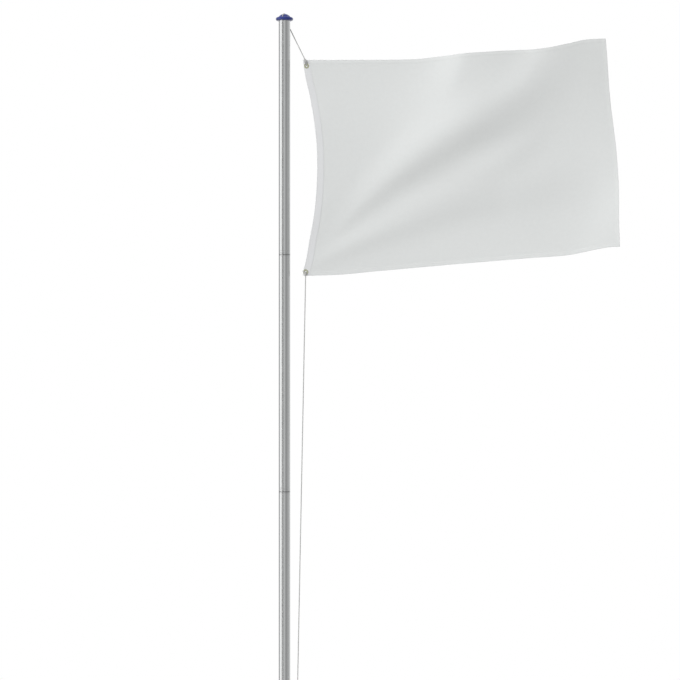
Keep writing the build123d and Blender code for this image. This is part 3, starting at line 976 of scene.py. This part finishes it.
def makeScrew(name, centre, material):
    # A domed head on a polar grid: height = rise (1 - (r/R)^4), less a cross-shaped recess with soft sides.
    share = np.linspace(0.0, 1.0, screws["rings"])[1:, None]
    angle = np.arange(screws["sides"]) * 2 * math.pi / screws["sides"]
    x = screws["radius"] * share * np.cos(angle)
    z = screws["radius"] * share * np.sin(angle)
    arm = np.minimum(np.abs(x), np.abs(z)) / screws["slot"]
    reach = np.maximum(np.abs(x), np.abs(z)) / screws["slotLength"]
    recess = smoothStep((1.15 - arm) / 0.5) * smoothStep((1.1 - reach) / 0.3)
    high = screws["rise"] * (1 - share ** 4) - screws["deep"] * recess
    face = np.stack([x, -high, z], axis=-1)
    skirt = face[-1:] + (0.0, screws["skirt"], 0.0)
    middle = np.array([[0.0, screws["deep"] - screws["rise"], 0.0], [0.0, screws["skirt"], 0.0]])
    rings = np.concatenate([face, skirt])
    rows, columns = rings.shape[:2]
    quads = gridQuads(rows, columns, wrap=True)
    near = np.arange(columns)
    after = (near + 1) % columns
    last = (rows - 1) * columns
    hub = rows * columns
    fans = fanFaces(hub, near, after) + fanFaces(hub + 1, last + after, last + near)
    points = np.vstack([rings.reshape(-1, 3), middle]) + np.array(centre)
    return meshPiece(name, points, [*quads[:, ::-1].tolist(), *fans], material)


# Uses the tube finish, so it carries the painted seam shade too.
screwSteel = tubeMaterial("screwSteel", (0.30, 0.30, 0.295, 1.0), 0.3, seamStart, seamPitch)
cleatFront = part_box("cleat")[0].y
for label, way in (("upper", 1), ("lower", -1)):
    screwPlace = (0.0, cleatFront + screws["sunk"], cleatCentre.z + way * screws["away"])
    screw = makeScrew(f"{label}_cleat_screw", screwPlace, screwSteel)
    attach(screw, "root")
print("lips and screws made")


# Stitching

stitching = {
    "pitch": 4.0 * mm,
    "length": 3.1 * mm,
    "radius": 0.27 * mm,
    "fromEdge": (2.6 * mm, 12.8 * mm),      # two rows along a hem
    "headingRows": (3.2 * mm, 27.4 * mm),   # two rows down the heading, and the heights they run between
    "headingSpan": (0.035, 0.962),
    "colour": (0.66, 0.67, 0.665, 1.0),
}


def stitchRow(ends):
    # Shares across and up the cloth, one stitch apart, from one end of a row to the other.
    start, end = np.array(ends[0]), np.array(ends[1])
    reach = np.linalg.norm((end - start) * (clothSize["length"], clothSize["height"]))
    count = int(reach / stitching["pitch"])
    share = (np.arange(count) + 0.5) / count
    return start + (end - start) * share[:, None]


def makeStitches(name, rows, material):
    # Each stitch is a small four-sided lens that stands half out of the cloth, on its front and its back.
    lines = [stitchRow(row) for row in rows]
    places = np.vstack(lines)
    aims = np.vstack([np.tile(unit(np.array(row[1]) - np.array(row[0])), (len(line), 1))
                      for row, line in zip(rows, lines)])
    s, t = places[:, 0], places[:, 1]
    small = 0.0008
    along = unit(clothPlace(s + aims[:, 0] * small, t + aims[:, 1] * small)
                 - clothPlace(s - aims[:, 0] * small, t - aims[:, 1] * small))
    facing = clothNormal(s, t)
    half = clothHalf(s, t)[0]
    middle = clothPlace(s, t) + rippleOf(s, t)[..., None] * facing
    stations = np.array([-0.5, -0.28, 0.28, 0.5]) * stitching["length"]
    girth = np.array([0.3, 1.0, 1.0, 0.3]) * stitching["radius"]
    rise = np.array([-0.35, 0.55, 0.55, -0.35]) * stitching["radius"]
    corner = np.arange(4) * math.pi / 2 + math.pi / 4
    points = []
    for way in (1.0, -1.0):
        out = facing * way
        side = np.cross(along, out)
        base = middle + out * half[:, None]
        ring = (base[:, None, None, :] + along[:, None, None, :] * stations[None, :, None, None]
                + out[:, None, None, :] * (rise[:, None] + girth[:, None] * np.sin(corner))[None, ..., None]
                + side[:, None, None, :] * (girth[:, None] * np.cos(corner) * 1.25)[None, ..., None])
        points.append(ring.reshape(-1, 3))
    count = len(places) * 2
    quads = gridQuads(4, 4, wrap=True)
    lids = np.array([[3, 2, 1, 0], [12, 13, 14, 15]])
    shape = np.vstack([quads, lids])[:, ::-1]
    faces = (shape[None, :, :] + 16 * np.arange(count)[:, None, None]).reshape(-1, 4)
    return meshPiece(name, np.vstack(points), faces, material)


def threadMaterial(colour):
    # Spun thread with a soft sheen, a little uneven in colour.
    material, tree, shader = newMaterial("sewingThread", Roughness=0.6, Sheen_Weight=0.2)
    specks = useGroup(tree, dustSpecks, Scale=1500.0, Amount=0.5)
    tone = mixColour(tree, specks.outputs["Mottle"], shadeFrom(colour, 0.9), shadeFrom(colour, 1.08))
    tone = mixColour(tree, specks.outputs["Specks"], tone, shadeFrom(colour, 0.7))
    wire(tree, tone, shader.inputs["Base Color"])
    return material


sewingThread = threadMaterial(stitching["colour"])
near = [gap / clothSize["height"] for gap in stitching["fromEdge"]]
flyNear = [gap / clothSize["length"] for gap in stitching["fromEdge"]]
rowStart = flag["headingWidth"] / clothSize["length"]
hemRows = [((rowStart, level), (1 - flyNear[0], level)) for gap in near for level in (gap, 1 - gap)]
hemRows += [((1 - gap, near[0]), (1 - gap, 1 - near[0])) for gap in flyNear]
headingRows = [tuple((gap / clothSize["length"], level) for level in stitching["headingSpan"])
               for gap in stitching["headingRows"]]
hemStitches = makeStitches("hem_stitches", hemRows, sewingThread)
headingStitches = makeStitches("heading_stitches", headingRows, sewingThread)
for piece in (hemStitches, headingStitches):
    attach(piece, "root")
print("stitches made", len(hemStitches.data.polygons) + len(headingStitches.data.polygons), "faces")
